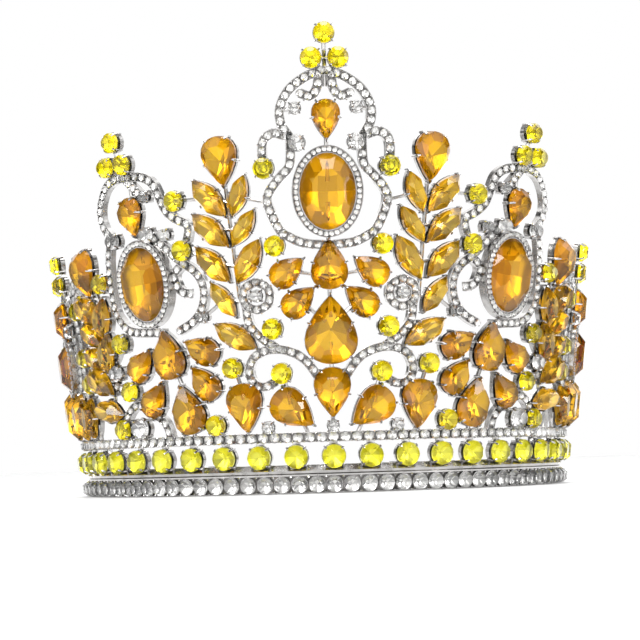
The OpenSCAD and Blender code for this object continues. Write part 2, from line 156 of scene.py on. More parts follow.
# Leaf stones of each side: cut, angle, share, turn
LEAVES = [
    ("slim", 16.8, 58.6, 20), ("leaf", 22.7, 58.4, -40), ("slim", 16.2, 50.6, 34),
    ("leaf", 22.9, 50.6, -46), ("leaf", 15.6, 42.4, 30), ("leaf", 22.9, 42.2, -42),
    ("slim", 21.2, 33.4, -34), ("leaf", 19.2, 24.2, -58), ("leaf", 59.1, 34.2, -46),
    ("slim", 53.3, 31.4, 6), ("slim", 58.2, 27.6, -52), ("slim", 53, 22.2, 6),
    ("slim", 57.8, 21.4, -52), ("leaf", 57.2, 15.2, -54), ("leaf", 55.2, 7.4, -80),
    ("slim", 64.4, 6, 4), ("leaf", 70.4, 6.6, -6), ("leaf", 79, 6.8, 0), ("leaf", 88, 8.6, 4),
]
# Yellow stones of each side: angle, share
YELLOWS = [
    (2.4, 91), (11.8, 64.8), (10.4, 45.8), (11.6, 25.6), (10.2, 14.6), (20.4, 16.4), (25, 2.4),
    (44.4, 75.4), (46.6, 69.4), (42, 69.4), (30.4, 58.6), (29.6, 46.2), (53.2, 40.4),
    (48.4, 24.4), (47, 12), (50.8, 2.4), (79.6, 49), (77.2, 43.2), (82, 43.2),
    (65.6, 34.6), (64.7, 22), (63.2, 15), (88.4, 25), (95, 6),
]
TOP_SHARE = 97
FOOT_SHARE = 1.4
# Clear stones of each side: cut, angle, share
CLEARS = [
    ("clear", 5.4, 70.6), ("small_clear", 5.6, 79), ("small_clear", 14.6, 33.8),
    ("small_clear", 13.6, 1.4), ("clear", 37.6, 51), ("clear", 47, 50.6),
    ("small_clear", 37.2, 60.6), ("small_clear", 33.2, 50.6), ("small_clear", 26.2, 29.4),
    ("clear", 51, 17), ("big_clear", 45, 2.5), ("clear", 73.2, 30),
]

# Scrolls, as angle and share, for the right side
SCROLLS = [
    [(0.6, 88), (3.6, 86.4), (6.6, 83.4), (8.3, 79.2), (8.2, 75.4), (6.8, 72.2)],
    [(1.2, 87), (1.4, 84), (2.6, 81.8), (4.6, 82.6)],
    [(7.6, 72.4), (9.8, 73.2), (11.6, 71.6), (12, 68.4), (11.8, 64.8)],
    [(6.6, 72), (6.9, 65.4), (8.6, 62.8), (10.8, 59.4), (11.4, 56.2), (9.4, 49.8), (7.2, 47.6),
     (4.6, 46.2), (0.4, 45.6)],
    [(2.8, 13.4), (5, 17.2), (7.8, 19.6), (11.9, 20.6), (15.6, 19), (17, 15.6), (16.2, 12.4),
     (14, 11.4), (11.6, 12.6)],
    [(16.8, 31.8), (16.4, 27), (14, 23.4), (10.6, 20.6)],
    [(14.6, 37.2), (17, 35.6), (17, 32), (14.6, 30.4), (12.2, 32), (12.2, 35.6), (14.6, 37.2)],
    [(43.6, 66.6), (47.4, 65), (49.6, 62), (50.8, 58.4), (50.2, 54.4), (48, 51.4)],
    [(44.8, 66.2), (40.4, 66), (37.4, 65.4), (35.2, 63.4), (34, 60), (32.8, 56.6), (30.6, 54.2),
     (28, 52.2), (28.6, 48.4)],
    [(42.4, 66), (38, 60.4)],
    [(37.2, 51.4), (30.6, 43.8), (27.8, 41.4), (26, 38.4), (25.6, 34.8), (26.6, 31), (28.8, 28.2),
     (32, 26.4)],
    [(29.8, 43), (32, 40.4), (31, 36.4), (28.6, 35.4)],
    [(48.4, 51.8), (50, 45), (49.8, 34.4), (48.4, 30.4), (45, 27.2), (37.8, 26.4)],
    [(51.6, -1), (50.4, 4.2), (48, 7.4), (44.4, 8.2), (38.4, 3.8), (37, -1)],
    [(49.2, 25), (51.4, 21.4), (53.6, 18.6), (53.4, 15.4), (51.4, 13), (48.6, 13.4)],
    [(79.6, 41), (76.6, 39.8), (74.4, 36.4), (73.6, 32.6), (71.6, 24), (71, 19.6), (72.4, 15),
     (75.6, 11.6), (79, 11)],
    [(79.6, 41), (82.6, 39.8), (84.8, 36.4), (85.6, 32.6), (86, 28.6), (87.4, 19.6), (86, 15),
     (82.6, 11.6), (79, 11)],
    [(67.2, 42), (69, 37.6), (69.4, 33), (67.8, 28.4), (67.8, 17), (67.4, -1)],
    [(64.4, 40), (67.2, 42), (70.4, 40.6), (71.8, 36), (73.4, 31.6)],
    [(88.4, 28), (91.4, 22), (93.2, 15), (101, 7), (104, -1)],
]
MIDDLE_STEMS = [
    [(0, 97), (0, 84)],
    [(-2.4, 91), (2.4, 91)],
    [(0, 74), (0, 61)],
    [(0, 56), (0, 42)],
    [(0, 39), (0, 28)],
    [(0, 22), (0, 11)],
    [(0, 8), (0, -1)],
]
SIDE_STEMS = [
    [(5.6, 79), (8.4, 78.6)],
    [(8, 39.6), (0, 38)],
    [(6, 32.2), (1, 27)],
    [(10.2, 14.6), (8.6, 7)],
    [(7.4, 5), (5, -1)],
    [(10.4, 45.8), (9.2, 50.2)],
    [(11.6, 25.6), (14.2, 22.6)],
    [(14.6, 33.8), (18.6, 33)],
    [(19.8, 64.6), (19, 48), (18.2, 33)],
    [(11.2, 56.4), (16.6, 57.8), (19.2, 55.6)],
    [(18.4, 8.6), (20.4, 16.4)],
    [(15.6, 42.4), (18.7, 41.4), (23.4, 43), (29.6, 46.2), (30.8, 43.6)],
    [(18.4, 32.6), (21.2, 33.2), (26.2, 29.4)],
    [(16.2, 24.6), (19.2, 24.2)],
    [(44.4, 75.4), (44.4, 65.6)],
    [(46.6, 69.4), (42, 69.4)],
    [(41.6, 66), (41, 58)],
    [(40.8, 54), (39.6, 43)],
    [(39.3, 34), (38.8, 25.6)],
    [(37.4, 26.4), (35.2, 22.4)],
    [(34.8, 18.4), (31.8, 9)],
    [(31.2, 5), (31, -1)],
    [(33.2, 50.6), (37.6, 51)],
    [(16.2, 50.6), (22, 50.4)],
    [(27.4, 21), (34.4, 18.6)],
    [(27.2, 12.6), (31.2, 8)],
    [(42, 18.2), (35.6, 18.8)],
    [(33.6, 58.2), (30.4, 58.6), (23.4, 58.4), (19.2, 57)],
    [(51, 17), (53.6, 17.4)],
    [(50, 40), (53.2, 40.2), (58.4, 42.6)],
    [(58.4, 41.6), (55.2, 31), (54.6, -1)],
    [(69.2, 34.8), (59.4, 34.6)],
    [(79.6, 49), (79.5, 35)],
    [(79.4, 31), (79.1, 22)],
    [(79, 18), (79, 8)],
    [(63.2, 15), (67.7, 15)],
    [(64.7, 22), (67.6, 22.4)],
    [(64.4, 4), (64.4, -1)],
    [(70.4, 4), (70.4, -1)],
    [(73.2, 30), (78.2, 30)],
    [(88, 6), (88, -1)],
    [(95, 6), (95, -1)],
]
SIDES = (("right", 1), ("left", -1))


# Places on the wall, in millimetres
def field_z(share):
    return BAND_TOP + share / 100 * FIELD_H


def wall_r(z):
    return BASE_R + z * math.tan(LEAN)


def wall_seat(angle, z, turn=0.0, out=0.0):
    """Frame of a seat on the wall: X to the right, Y towards the tip, Z out of the wall."""
    return (
        Matrix.Translation((0, AXIS_Y, 0))
        @ Matrix.Rotation(math.radians(angle), 4, "Z")
        @ Matrix.Translation((0, -wall_r(z), z))
        @ Matrix.Rotation(math.pi / 2 + LEAN, 4, "X")
        @ Matrix.Rotation(math.radians(turn), 4, "Z")
        @ Matrix.Translation((0, 0, out))
    )


def smooth_path(points, step):
    """Even steps, in millimetres, along a curve through points of angle and share."""
    ends = [points[0], *points, points[-1]]
    fine = []
    for p0, p1, p2, p3 in zip(ends, ends[1:], ends[2:], ends[3:]):
        for k in range(SPLINE_PARTS):
            t = k / SPLINE_PARTS
            fine.append([
                0.5 * (2 * b + (c - a) * t + (2 * a - 5 * b + 4 * c - d) * t * t
                       + (3 * b - a - 3 * c + d) * t ** 3)
                for a, b, c, d in zip(p0, p1, p2, p3)
            ])
    fine.append(list(points[-1]))
    places = [wall_seat(a, field_z(s)).translation for a, s in fine]
    run = [0.0]
    for p, q in zip(places, places[1:]):
        run.append(run[-1] + (q - p).length)
    count = max(2, round(run[-1] / step) + 1)
    want = np.linspace(0, run[-1], count)
    angles = np.interp(want, run, [p[0] for p in fine])
    shares = np.interp(want, run, [p[1] for p in fine])
    return list(zip(angles, shares))


def path_frames(path):
    """Frames along a path: X across it, Y along it and Z out of the wall."""
    seats = [wall_seat(a, field_z(s)) for a, s in path]
    frames = []
    for i, seat in enumerate(seats):
        along = seats[min(i + 1, len(seats) - 1)].translation - seats[max(i - 1, 0)].translation
        normal = seat.to_3x3() @ Vector((0, 0, 1))
        across = along.cross(normal).normalized()
        along = normal.cross(across).normalized()
        turned = Matrix((across, along, normal)).transposed().to_4x4()
        frames.append(Matrix.Translation(seat.translation) @ turned)
    return frames


# Outlines of the cuts, tip up
def outline(kind, count, grow=0.0):
    length, width = STONES[kind]
    half_l, half_w = length / 2 + grow, width / 2 + grow
    points = []
    for k in range(count):
        t = 2 * math.pi * k / count
        if kind in ("pear", "bud", "drop"):
            x = math.sin(t) * math.sin(t / 2) / PEAR_PEAK
        elif kind in ("leaf", "slim"):
            x = math.sin(t) * abs(math.sin(t))
        else:
            x = math.sin(t)
        points.append((-half_w * x, half_l * math.cos(t)))
    return points


class Shape:
    """Mesh of a finished small form, kept as arrays so that it can be set many times."""

    def __init__(self, bm, tones=None):
        bm.verts.index_update()
        self.points = np.array([v.co[:] for v in bm.verts])
        self.corners = np.array([v.index for f in bm.faces for v in f.verts])
        self.sizes = np.array([len(f.verts) for f in bm.faces])
        self.slots = np.array([f.material_index for f in bm.faces])
        self.tones = np.array([tones(f) if tones else (0, 1) for f in bm.faces], dtype=float)
        bm.free()


def piece(name, sets, materials, nodes, smooth=False):
    """Joins shapes, each set at a frame, into one piece in metres."""
    points, corners, sizes, slots, tones = [], [], [], [], []
    base = 0
    for shape, seat in sets:
        m = np.array(seat)
        points.append(shape.points @ m[:3, :3].T + m[:3, 3])
        corners.append(shape.corners + base)
        sizes.append(shape.sizes)
        slots.append(shape.slots)
        low, high = shape.tones.T
        tones.append(low + (high - low) * luck.random(len(low)))
        base += len(shape.points)
    sizes = np.concatenate(sizes)
    mesh = bpy.data.meshes.new(name)
    mesh.vertices.add(base)
    mesh.vertices.foreach_set("co", (np.concatenate(points) * MM).ravel())
    mesh.loops.add(int(sizes.sum()))
    mesh.loops.foreach_set("vertex_index", np.concatenate(corners))
    mesh.polygons.add(len(sizes))
    mesh.polygons.foreach_set("loop_start", np.cumsum(sizes) - sizes)
    mesh.polygons.foreach_set("material_index", np.concatenate(slots))
    mesh.update(calc_edges=True)
    mesh.validate()
    mesh.attributes.new("tone", "FLOAT", "FACE").data.foreach_set("value", np.concatenate(tones))
    if smooth:
        mesh.shade_smooth()
        mesh.set_sharp_from_angle(angle=SHARP_ANGLE)
    else:
        mesh.shade_flat()
    for material in materials:
        mesh.materials.append(material)
    made = bpy.data.objects.new(name, mesh)
    bpy.context.scene.collection.objects.link(made)
    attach(made, "root")
    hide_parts(*nodes)
    return made


def drawn_out(bm, face):
    """Extrudes a face into walls, and gives the new corners and the new face."""
    made = bmesh.ops.extrude_face_region(bm, geom=[face, *face.edges, *face.verts])["geom"]
    verts = [g for g in made if isinstance(g, bmesh.types.BMVert)]
    return verts, next(g for g in made if isinstance(g, bmesh.types.BMFace))


# Painted reflection and shade: how light the foil is painted behind the facets of a cut stone, by
# each facet's kind and the way it faces, in place of the light it would reflect
ARROW_PAINTED_SHADE = (0, 0.4)
FLANK_PAINTED_REFLECTION = (0.1, 0.65)
END_PAINTED_HIGHLIGHT = (0.65, 1)
QUARTER_PAINTED_REFLECTION = ((0.3, 0.6), (0.6, 0.85))

# Where the facets of a cut lie, as shares of the way out and of the crown's or the back's height
STAR_OUT, STAR_DROP, STAR_IN = 0.9, 0.42, 1.03
GIRDLE_LOW, GIRDLE_IN, GIRDLE_RISE = 0.9, 0.86, 0.46
KEEL_IN = 0.04
BACK_STAR_LOW, BACK_STAR_IN = -0.02, 0.3
QUARTER_OUT, QUARTER_DEPTH, QUARTER_START = 0.5, 0.62, 0.3
# Crown facets below this share of the crown's height take the darker rim glass: painted shade round
# the girdle.
PAINTED_RIM_SHADE_SHARE = 0.7
BACK_TILT = -0.05

# A small stone's girdle and table
SMALL_GIRDLE_H = 0.3
SMALL_TABLE = 0.55


def cut(bm, normal, point):
    """Grinds one flat facet: what lies outside the plane goes, and the cut is closed."""
    result = bmesh.ops.bisect_plane(
        bm, geom=bm.verts[:] + bm.edges[:] + bm.faces[:], dist=1e-5,
        plane_co=point, plane_no=normal, clear_outer=True,
    )
    edges = [g for g in result["geom_cut"] if isinstance(g, bmesh.types.BMEdge) and g.is_boundary]
    if len(edges) > 2:
        bmesh.ops.contextual_create(bm, geom=edges)


def reach(points, angle):
    return max(x * math.cos(angle) + y * math.sin(angle) for x, y in points)


def cut_stone(kind, mains, depth, rough=36, fine=True, star=False):
    """Stone on its girdle at Z = 0, with a table, crown facets and a foiled pavilion below."""
    points = outline(kind, rough)
    crown_h = CROWN_SHARE * STONES[kind][0] + CROWN_RISE
    bm = bmesh.new()
    ring = bmesh.ops.create_circle(bm, segments=rough, radius=1, cap_ends=True)["verts"]
    for v, (x, y) in zip(ring, points):
        v.co = (x, y, -depth)
    bmesh.ops.remove_doubles(bm, verts=bm.verts, dist=1e-4)
    bmesh.ops.recalc_face_normals(bm, faces=bm.faces)
    raised = bmesh.ops.extrude_face_region(bm, geom=bm.faces[:])["geom"]
    lifted = [g for g in raised if isinstance(g, bmesh.types.BMVert)]
    bmesh.ops.translate(bm, verts=lifted, vec=(0, 0, depth + GIRDLE_H + crown_h))
    bmesh.ops.recalc_face_normals(bm, faces=bm.faces)
    top = GIRDLE_H + crown_h

    def facet(angle, low, low_z, high, high_z):
        d = reach(points, angle)
        run, rise = (low - high) * d, high_z - low_z
        side = Vector((math.cos(angle), math.sin(angle), 0))
        normal = side * abs(rise) + Vector((0, 0, math.copysign(run, rise)))
        cut(bm, normal.normalized(), side * low * d + Vector((0, 0, low_z)))

    step = 2 * math.pi / mains
    first = math.pi / 2
    for k in range(mains):
        facet(first + k * step, 1, GIRDLE_H, TABLE_SHARE, top)
    for k in range(mains):
        half = first + (k + 0.5) * step
        facet(half, STAR_OUT, top - STAR_DROP * crown_h, TABLE_SHARE * STAR_IN, top)
        if fine:
            for turn in (0.25, 0.75):
                high = GIRDLE_H + GIRDLE_RISE * crown_h
                facet(first + (k + turn) * step, 1, GIRDLE_H * GIRDLE_LOW, GIRDLE_IN, high)
    quarters = kind in ("oval", "side_oval")
    back_in, back_z = (QUARTER_OUT, -QUARTER_DEPTH * depth) if quarters else (KEEL_IN, -depth)
    for k in range(mains):
        facet(first + (k + 0.5) * step, 1, 0, back_in, back_z)
        if star:
            facet(first + k * step, 1, BACK_STAR_LOW, BACK_STAR_IN, -depth)
    if quarters:
        for k in range(4):
            facet(first + (k + 0.5) * math.pi / 2, 1, -QUARTER_START * depth, 0, -depth)
    for f in bm.faces:
        f.normal_update()
        # Low crown facets get slot 2, the darker rim glass: painted shade round the girdle.
        low = f.calc_center_median().z < GIRDLE_H + PAINTED_RIM_SHADE_SHARE * crown_h
        f.material_index = 1 if f.normal.z < BACK_TILT else 2 if low else 0

    def tones(f):
        """Painted reflection and shade: the narrow facets of the back are painted dark, the broad
        ones at the ends light, and the quarter facets that face away from the tip lighter than
        those that face it.
        """
        if f.material_index != 1:
            return 0, 1
        facing = math.atan2(f.normal.y, f.normal.x)
        if quarters and abs(math.sin(2 * facing)) > 0.8:
            return QUARTER_PAINTED_REFLECTION[f.normal.y < 0]
        turned = ((facing - first) / step) % 1
        if min(turned, 1 - turned) < 0.2:
            return ARROW_PAINTED_SHADE
        return END_PAINTED_HIGHLIGHT if abs(f.normal.y) > 1.6 * abs(f.normal.x) else FLANK_PAINTED_REFLECTION

    return Shape(bm, tones)


def small_stone(diameter, sides, crown_h, depth):
    """Little round stone with a table, a facet over each side and a foiled back."""
    r = diameter / 2
    bm = bmesh.new()
    bmesh.ops.create_cone(
        bm, segments=sides, radius1=0.02 * r, radius2=r, depth=depth, cap_ends=True,
    )
    bmesh.ops.translate(bm, verts=bm.verts, vec=(0, 0, -depth / 2))
    top = max(bm.faces, key=lambda f: f.calc_center_median().z)
    for height, share in ((SMALL_GIRDLE_H, 1.0), (crown_h, SMALL_TABLE)):
        verts, top = drawn_out(bm, top)
        bmesh.ops.translate(bm, verts=verts, vec=(0, 0, height))
        bmesh.ops.scale(bm, verts=verts, vec=(share, share, 1))
    bmesh.ops.recalc_face_normals(bm, faces=bm.faces)
    for f in bm.faces:
        f.material_index = 1 if f.normal.z < BACK_TILT else 0
    return Shape(bm, lambda f: (0.25, 1))


# Metalwork
def swept(frames, profile, ring=False, slot=0):
    """Bar drawn through frames, its section given as steps across and out."""
    bm = bmesh.new()
    first = face = bm.faces.new([bm.verts.new(frames[0] @ Vector((u, 0, v))) for u, v in profile])
    for before, after in zip(frames, frames[1:]):
        verts, face = drawn_out(bm, face)
        bmesh.ops.transform(bm, matrix=after @ before.inverted(), verts=verts)
    if ring:
        bmesh.ops.delete(bm, geom=[first, face], context="FACES_ONLY")
        bmesh.ops.remove_doubles(bm, verts=bm.verts, dist=0.01)
    bmesh.ops.recalc_face_normals(bm, faces=bm.faces)
    for f in bm.faces:
        f.material_index = slot
    return Shape(bm)


def bar(frames, profile, **how):
    """Swept bar that already stands in its place."""
    return swept(frames, profile, **how), Matrix()


def block(half, low, high):
    """Section of a flat bar."""
    return [(-half, low), (half, low), (half, high), (-half, high)]


def tray(half, floor, rim, base=0):
    """Section of a channel with a low wall along each edge."""
    inner = half - TRAY_WALL
    return [(-half, base), (half, base), (half, rim), (inner, rim), (inner, floor),
            (-inner, floor), (-inner, rim), (-half, rim)]


def level_frames(z, start, end, step):
    """Frames round the band at one height: X down the wall, Y along the band and Z out."""
    count = max(2, round(abs(end - start) / step))
    return [wall_seat(start + (end - start) * i / count, z, -90) for i in range(count + 1)]


def upright_frames(angle, z0, z1, count):
    return [wall_seat(angle, z0 + (z1 - z0) * i / count) for i in range(count + 1)]


def mirrored(path, side):
    return [(side * a, s) for a, s in path]


def cup_of(kind, grow, floor, rim, count=24):
    """Cup whose wall hugs a stone: floor, then the outer wall, the rim and the inner wall."""
    outer, inner = outline(kind, count, grow), outline(kind, count, 0.06)
    bm = bmesh.new()
    ring = bmesh.ops.create_circle(bm, segments=count, radius=1, cap_ends=True)["verts"]
    for v, (x, y) in zip(ring, outer):
        v.co = (x, y, floor)
    face = bm.faces[:][0]
    last = outer
    for points, z in ((outer, rim), (inner, rim), (inner, floor + 0.3)):
        verts, face = drawn_out(bm, face)
        for v in verts:
            k = min(range(count), key=lambda i: math.dist(v.co.xy, last[i]))
            v.co = (*points[k], z)
        last = points
    bmesh.ops.recalc_face_normals(bm, faces=bm.faces)
    return Shape(bm)


def claw(height, radius=0.42, lean=0.8):
    """Claw that stands on the cup's edge and bends in over the stone: X points outwards."""
    bm = bmesh.new()
    bmesh.ops.create_circle(bm, segments=6, radius=radius, cap_ends=True)
    face = bm.faces[:][0]
    # Each step's shift outwards, tilt, rise and share of the width before it
    steps = (
        (0.1, 0.0, height * 0.62, 0.95),
        (-lean * 0.45, 0.35, height * 0.22, 0.95),
        (-lean * 0.55, 0.5, height * 0.16, 0.9),
        (-lean * 0.2, 0.3, height * 0.06, 0.55),
    )
    for dx, tilt, dz, share in steps:
        verts, face = drawn_out(bm, face)
        middle = face.calc_center_median()
        bmesh.ops.rotate(bm, verts=verts, cent=middle, matrix=Matrix.Rotation(-tilt, 3, "Y"))
        bmesh.ops.scale(bm, verts=verts, vec=(share,) * 3, space=Matrix.Translation(-middle))
        bmesh.ops.translate(bm, verts=verts, vec=(dx, 0, dz))
    bmesh.ops.recalc_face_normals(bm, faces=bm.faces)
    return Shape(bm)


def grain(radius):
    bm = bmesh.new()
    bmesh.ops.create_icosphere(bm, subdivisions=1, radius=radius)
    return Shape(bm)


def claw_seats(kind, shares, seat, grow=0.3):
    """Frames of a stone's claws, at shares of the way round its outline from the tip."""
    seats = []
    near = outline(kind, CLAW_STEPS, grow)
    for share in shares:
        i = round(share * CLAW_STEPS) % CLAW_STEPS
        here, ahead, behind = near[i], near[(i + 2) % CLAW_STEPS], near[i - 2]
        along = Vector((ahead[0] - behind[0], ahead[1] - behind[1]))
        facing = math.atan2(-along.x, along.y)
        if here[0] * math.cos(facing) + here[1] * math.sin(facing) < 0:
            facing += math.pi
        seats.append(
            seat @ Matrix.Translation((here[0], here[1], 0)) @ Matrix.Rotation(facing, 4, "Z")
        )
    return seats


# Materials
def node_group(name, inputs, outputs):
    group = bpy.data.node_groups.new(name, "ShaderNodeTree")
    for title, kind, value in inputs:
        socket = group.interface.new_socket(title, in_out="INPUT", socket_type=kind)
        socket.default_value = value
    for title, kind in outputs:
        group.interface.new_socket(title, in_out="OUTPUT", socket_type=kind)
    return group, group.nodes.new("NodeGroupInput"), group.nodes.new("NodeGroupOutput")


def tarnish_group():
    """Slight cloudiness of plated metal: a colour, a roughness and a fine height."""
    group, given, put = node_group(
        "plating",
        [("Bright", "NodeSocketColor", (0.8, 0.8, 0.82, 1)),
         ("Dull", "NodeSocketColor", (0.5, 0.5, 0.53, 1)),
         ("Scale", "NodeSocketFloat", 400.0),
         ("Smooth", "NodeSocketFloat", 0.12),
         ("Rough", "NodeSocketFloat", 0.3)],
        [("Colour", "NodeSocketColor"), ("Roughness", "NodeSocketFloat"),
         ("Height", "NodeSocketFloat")],
    )
    nodes, links = group.nodes, group.links
    place = nodes.new("ShaderNodeTexCoord")
    cloud = nodes.new("ShaderNodeTexNoise")
    cloud.inputs["Detail"].default_value = 4
    links.new(place.outputs["Object"], cloud.inputs["Vector"])
    links.new(given.outputs["Scale"], cloud.inputs["Scale"])
    edge = nodes.new("ShaderNodeMapRange")
    edge.inputs["From Min"].default_value = 0.35
    edge.inputs["From Max"].default_value = 0.7
    links.new(cloud.outputs["Fac"], edge.inputs["Value"])
    tint = nodes.new("ShaderNodeMix")
    tint.data_type = "RGBA"
    links.new(edge.outputs["Result"], tint.inputs["Factor"])
    links.new(given.outputs["Bright"], tint.inputs["A"])
    links.new(given.outputs["Dull"], tint.inputs["B"])
    gloss = nodes.new("ShaderNodeMix")
    gloss.data_type = "FLOAT"
    links.new(edge.outputs["Result"], gloss.inputs["Factor"])
    links.new(given.outputs["Smooth"], gloss.inputs["A"])
    links.new(given.outputs["Rough"], gloss.inputs["B"])
    fine = nodes.new("ShaderNodeTexNoise")
    fine.inputs["Scale"].default_value = 2600
    fine.inputs["Detail"].default_value = 2
    links.new(place.outputs["Object"], fine.inputs["Vector"])
    links.new(tint.outputs["Result"], put.inputs["Colour"])
    links.new(gloss.outputs["Result"], put.inputs["Roughness"])
    links.new(fine.outputs["Fac"], put.inputs["Height"])
    return group


PLATING = tarnish_group()


def new_material(name):
    material = bpy.data.materials.new(name)
    material.use_nodes = True
    nodes, links = material.node_tree.nodes, material.node_tree.links
    return material, nodes, links, nodes["Principled BSDF"]


def plated(name, bright, dull, smooth, rough):
    material, nodes, links, shader = new_material(name)
    shader.inputs["Metallic"].default_value = 1
    group = nodes.new("ShaderNodeGroup")
    group.node_tree = PLATING
    group.inputs["Bright"].default_value = (*bright, 1)
    group.inputs["Dull"].default_value = (*dull, 1)
    group.inputs["Smooth"].default_value = smooth
    group.inputs["Rough"].default_value = rough
    links.new(group.outputs["Colour"], shader.inputs["Base Color"])
    links.new(group.outputs["Roughness"], shader.inputs["Roughness"])
    height = nodes.new("ShaderNodeBump")
    height.inputs["Strength"].default_value = 0.05
    height.inputs["Distance"].default_value = 0.0002
    links.new(group.outputs["Height"], height.inputs["Height"])
    links.new(height.outputs["Normal"], shader.inputs["Normal"])
    return material


def tone_mix(nodes, links, low, high):
    """Colour between two values, by the tone that each facet was given."""
    tone = nodes.new("ShaderNodeAttribute")
    tone.attribute_name = "tone"
    mix = nodes.new("ShaderNodeMix")
    mix.data_type = "RGBA"
    mix.inputs["A"].default_value = (*low, 1)
    mix.inputs["B"].default_value = (*high, 1)
    links.new(tone.outputs["Fac"], mix.inputs["Factor"])
    return mix.outputs["Result"]


def glass(name, low, high, ior=1.46):
    material, nodes, links, shader = new_material(name)
    links.new(tone_mix(nodes, links, low, high), shader.inputs["Base Color"])
    shader.inputs["Roughness"].default_value = 0.0
    shader.inputs["IOR"].default_value = ior
    shader.inputs["Transmission Weight"].default_value = 1
    return material


# The foil's colour runs from dark to light by each facet's tone; on the cut stones that tone is
# painted reflection and shade, on the small stones it differs at random.
def foil(name, low, high):
    material, nodes, links, shader = new_material(name)
    links.new(tone_mix(nodes, links, low, high), shader.inputs["Base Color"])
    shader.inputs["Metallic"].default_value = 1
    shader.inputs["Roughness"].default_value = 0.3
    return material


def brushed_steel():
    """Flat strap steel, its scratches drawn along the strip and so level round the axis."""
    material, nodes, links, shader = new_material("brushed_strap_steel")
    place = nodes.new("ShaderNodeTexCoord")
    stretch = nodes.new("ShaderNodeMapping")
    stretch.inputs["Scale"].default_value = (60, 60, 9000)
    links.new(place.outputs["Object"], stretch.inputs["Vector"])
    lines = nodes.new("ShaderNodeTexNoise")
    lines.inputs["Scale"].default_value = 1
    lines.inputs["Detail"].default_value = 3
    links.new(stretch.outputs["Vector"], lines.inputs["Vector"])
    tint = nodes.new("ShaderNodeMix")
    tint.data_type = "RGBA"
    tint.inputs["A"].default_value = (0.16, 0.16, 0.165, 1)
    tint.inputs["B"].default_value = (0.5, 0.5, 0.51, 1)
    links.new(lines.outputs["Fac"], tint.inputs["Factor"])
    links.new(tint.outputs["Result"], shader.inputs["Base Color"])
    gloss = nodes.new("ShaderNodeMapRange")
    gloss.inputs["To Min"].default_value = 0.22
    gloss.inputs["To Max"].default_value = 0.42
    links.new(lines.outputs["Fac"], gloss.inputs["Value"])
    links.new(gloss.outputs["Result"], shader.inputs["Roughness"])
    shader.inputs["Metallic"].default_value = 1
    height = nodes.new("ShaderNodeBump")
    height.inputs["Strength"].default_value = 0.12
    height.inputs["Distance"].default_value = 0.0001
    links.new(lines.outputs["Fac"], height.inputs["Height"])
    links.new(height.outputs["Normal"], shader.inputs["Normal"])
    return material


SILVER = plated("rhodium_plate", (0.52, 0.51, 0.5), (0.38, 0.37, 0.36), 0.16, 0.3)
CLAW_SILVER = plated("claw_plate", (0.6, 0.59, 0.58), (0.36, 0.35, 0.35), 0.12, 0.26)
# The beds under the pavé, in the channels, rails and halos, take a darker plate: painted shade in
# the recesses between the stones.
BED_SILVER_PAINTED_SHADE = plated("channel_bed_painted_shade", (0.28, 0.27, 0.26), (0.12, 0.115, 0.11), 0.3, 0.5)
STEEL = brushed_steel()
# Each stone's third glass, darker than the first, goes on the low crown facets by the girdle:
# painted shade.
AMBER = [glass("amber_glass", (0.95, 0.49, 0.002), (1.0, 0.58, 0.006)),
         foil("amber_foil", (0.24, 0.22, 0.2), (0.8, 0.8, 0.8)),
         glass("amber_rim_glass_painted_shade", (0.66, 0.22, 0.002), (0.96, 0.44, 0.006))]
HONEY = [glass("honey_glass", (1.0, 0.62, 0.03), (1.0, 0.7, 0.06)),
         foil("honey_foil", (0.26, 0.24, 0.22), (0.84, 0.84, 0.84)),
         glass("honey_rim_glass_painted_shade", (0.8, 0.36, 0.008), (1.0, 0.54, 0.025))]
YELLOW = [glass("yellow_glass", (1.0, 0.86, 0.01), (1.0, 0.92, 0.03)),
          foil("yellow_foil", (0.24, 0.2, 0.05), (1.0, 1.0, 0.7)),
          glass("yellow_rim_glass_painted_shade", (0.97, 0.76, 0.01), (1.0, 0.86, 0.02))]
LIME = [glass("lime_glass", (1.0, 0.93, 0.04), (1.0, 0.97, 0.09)),
        foil("lime_foil", (0.42, 0.43, 0.2), (1.0, 1.0, 0.8)),
        glass("lime_rim_glass_painted_shade", (0.96, 0.87, 0.03), (1.0, 0.94, 0.07))]
CLEAR = [glass("clear_glass", (0.98, 0.975, 0.96), (1.0, 1.0, 1.0), 1.6),
         foil("silver_foil", (0.12, 0.12, 0.12), (1.0, 0.99, 0.97)),
         glass("clear_rim_glass_painted_shade", (0.9, 0.9, 0.9), (0.98, 0.98, 0.98), 1.6)]

# Stones and their settings
CUTS = {
    "oval": cut_stone("oval", 8, 1.8, 40),
    "side_oval": cut_stone("side_oval", 8, 1.8, 36),
    "drop": cut_stone("drop", 8, 1.8, 40),
    "pear": cut_stone("pear", 8, 1.8, 36),
    "bud": cut_stone("bud", 8, 1.7, 32),
    "leaf": cut_stone("leaf", 8, 1.3, 32, fine=False),
    "slim": cut_stone("slim", 8, 1.0, 28, fine=False),
    "yellow": cut_stone("yellow", 8, 1.3, 24, star=True),
    "row_yellow": cut_stone("row_yellow", 8, 1.3, 24, star=True),
    "row_clear": cut_stone("row_clear", 8, 0.8, 24, star=True),
    "big_clear": cut_stone("big_clear", 8, 1.3, 24, star=True),
    "clear": cut_stone("clear", 8, 1.0, 24, star=True),
    "small_clear": cut_stone("small_clear", 8, 0.8, 20),
}
CUPS = {
    kind: cup_of(kind, CUP_WALL, -SEAT, OVAL_CUP_RIM if "oval" in kind else CUP_RIM)
    for kind in STONES
}
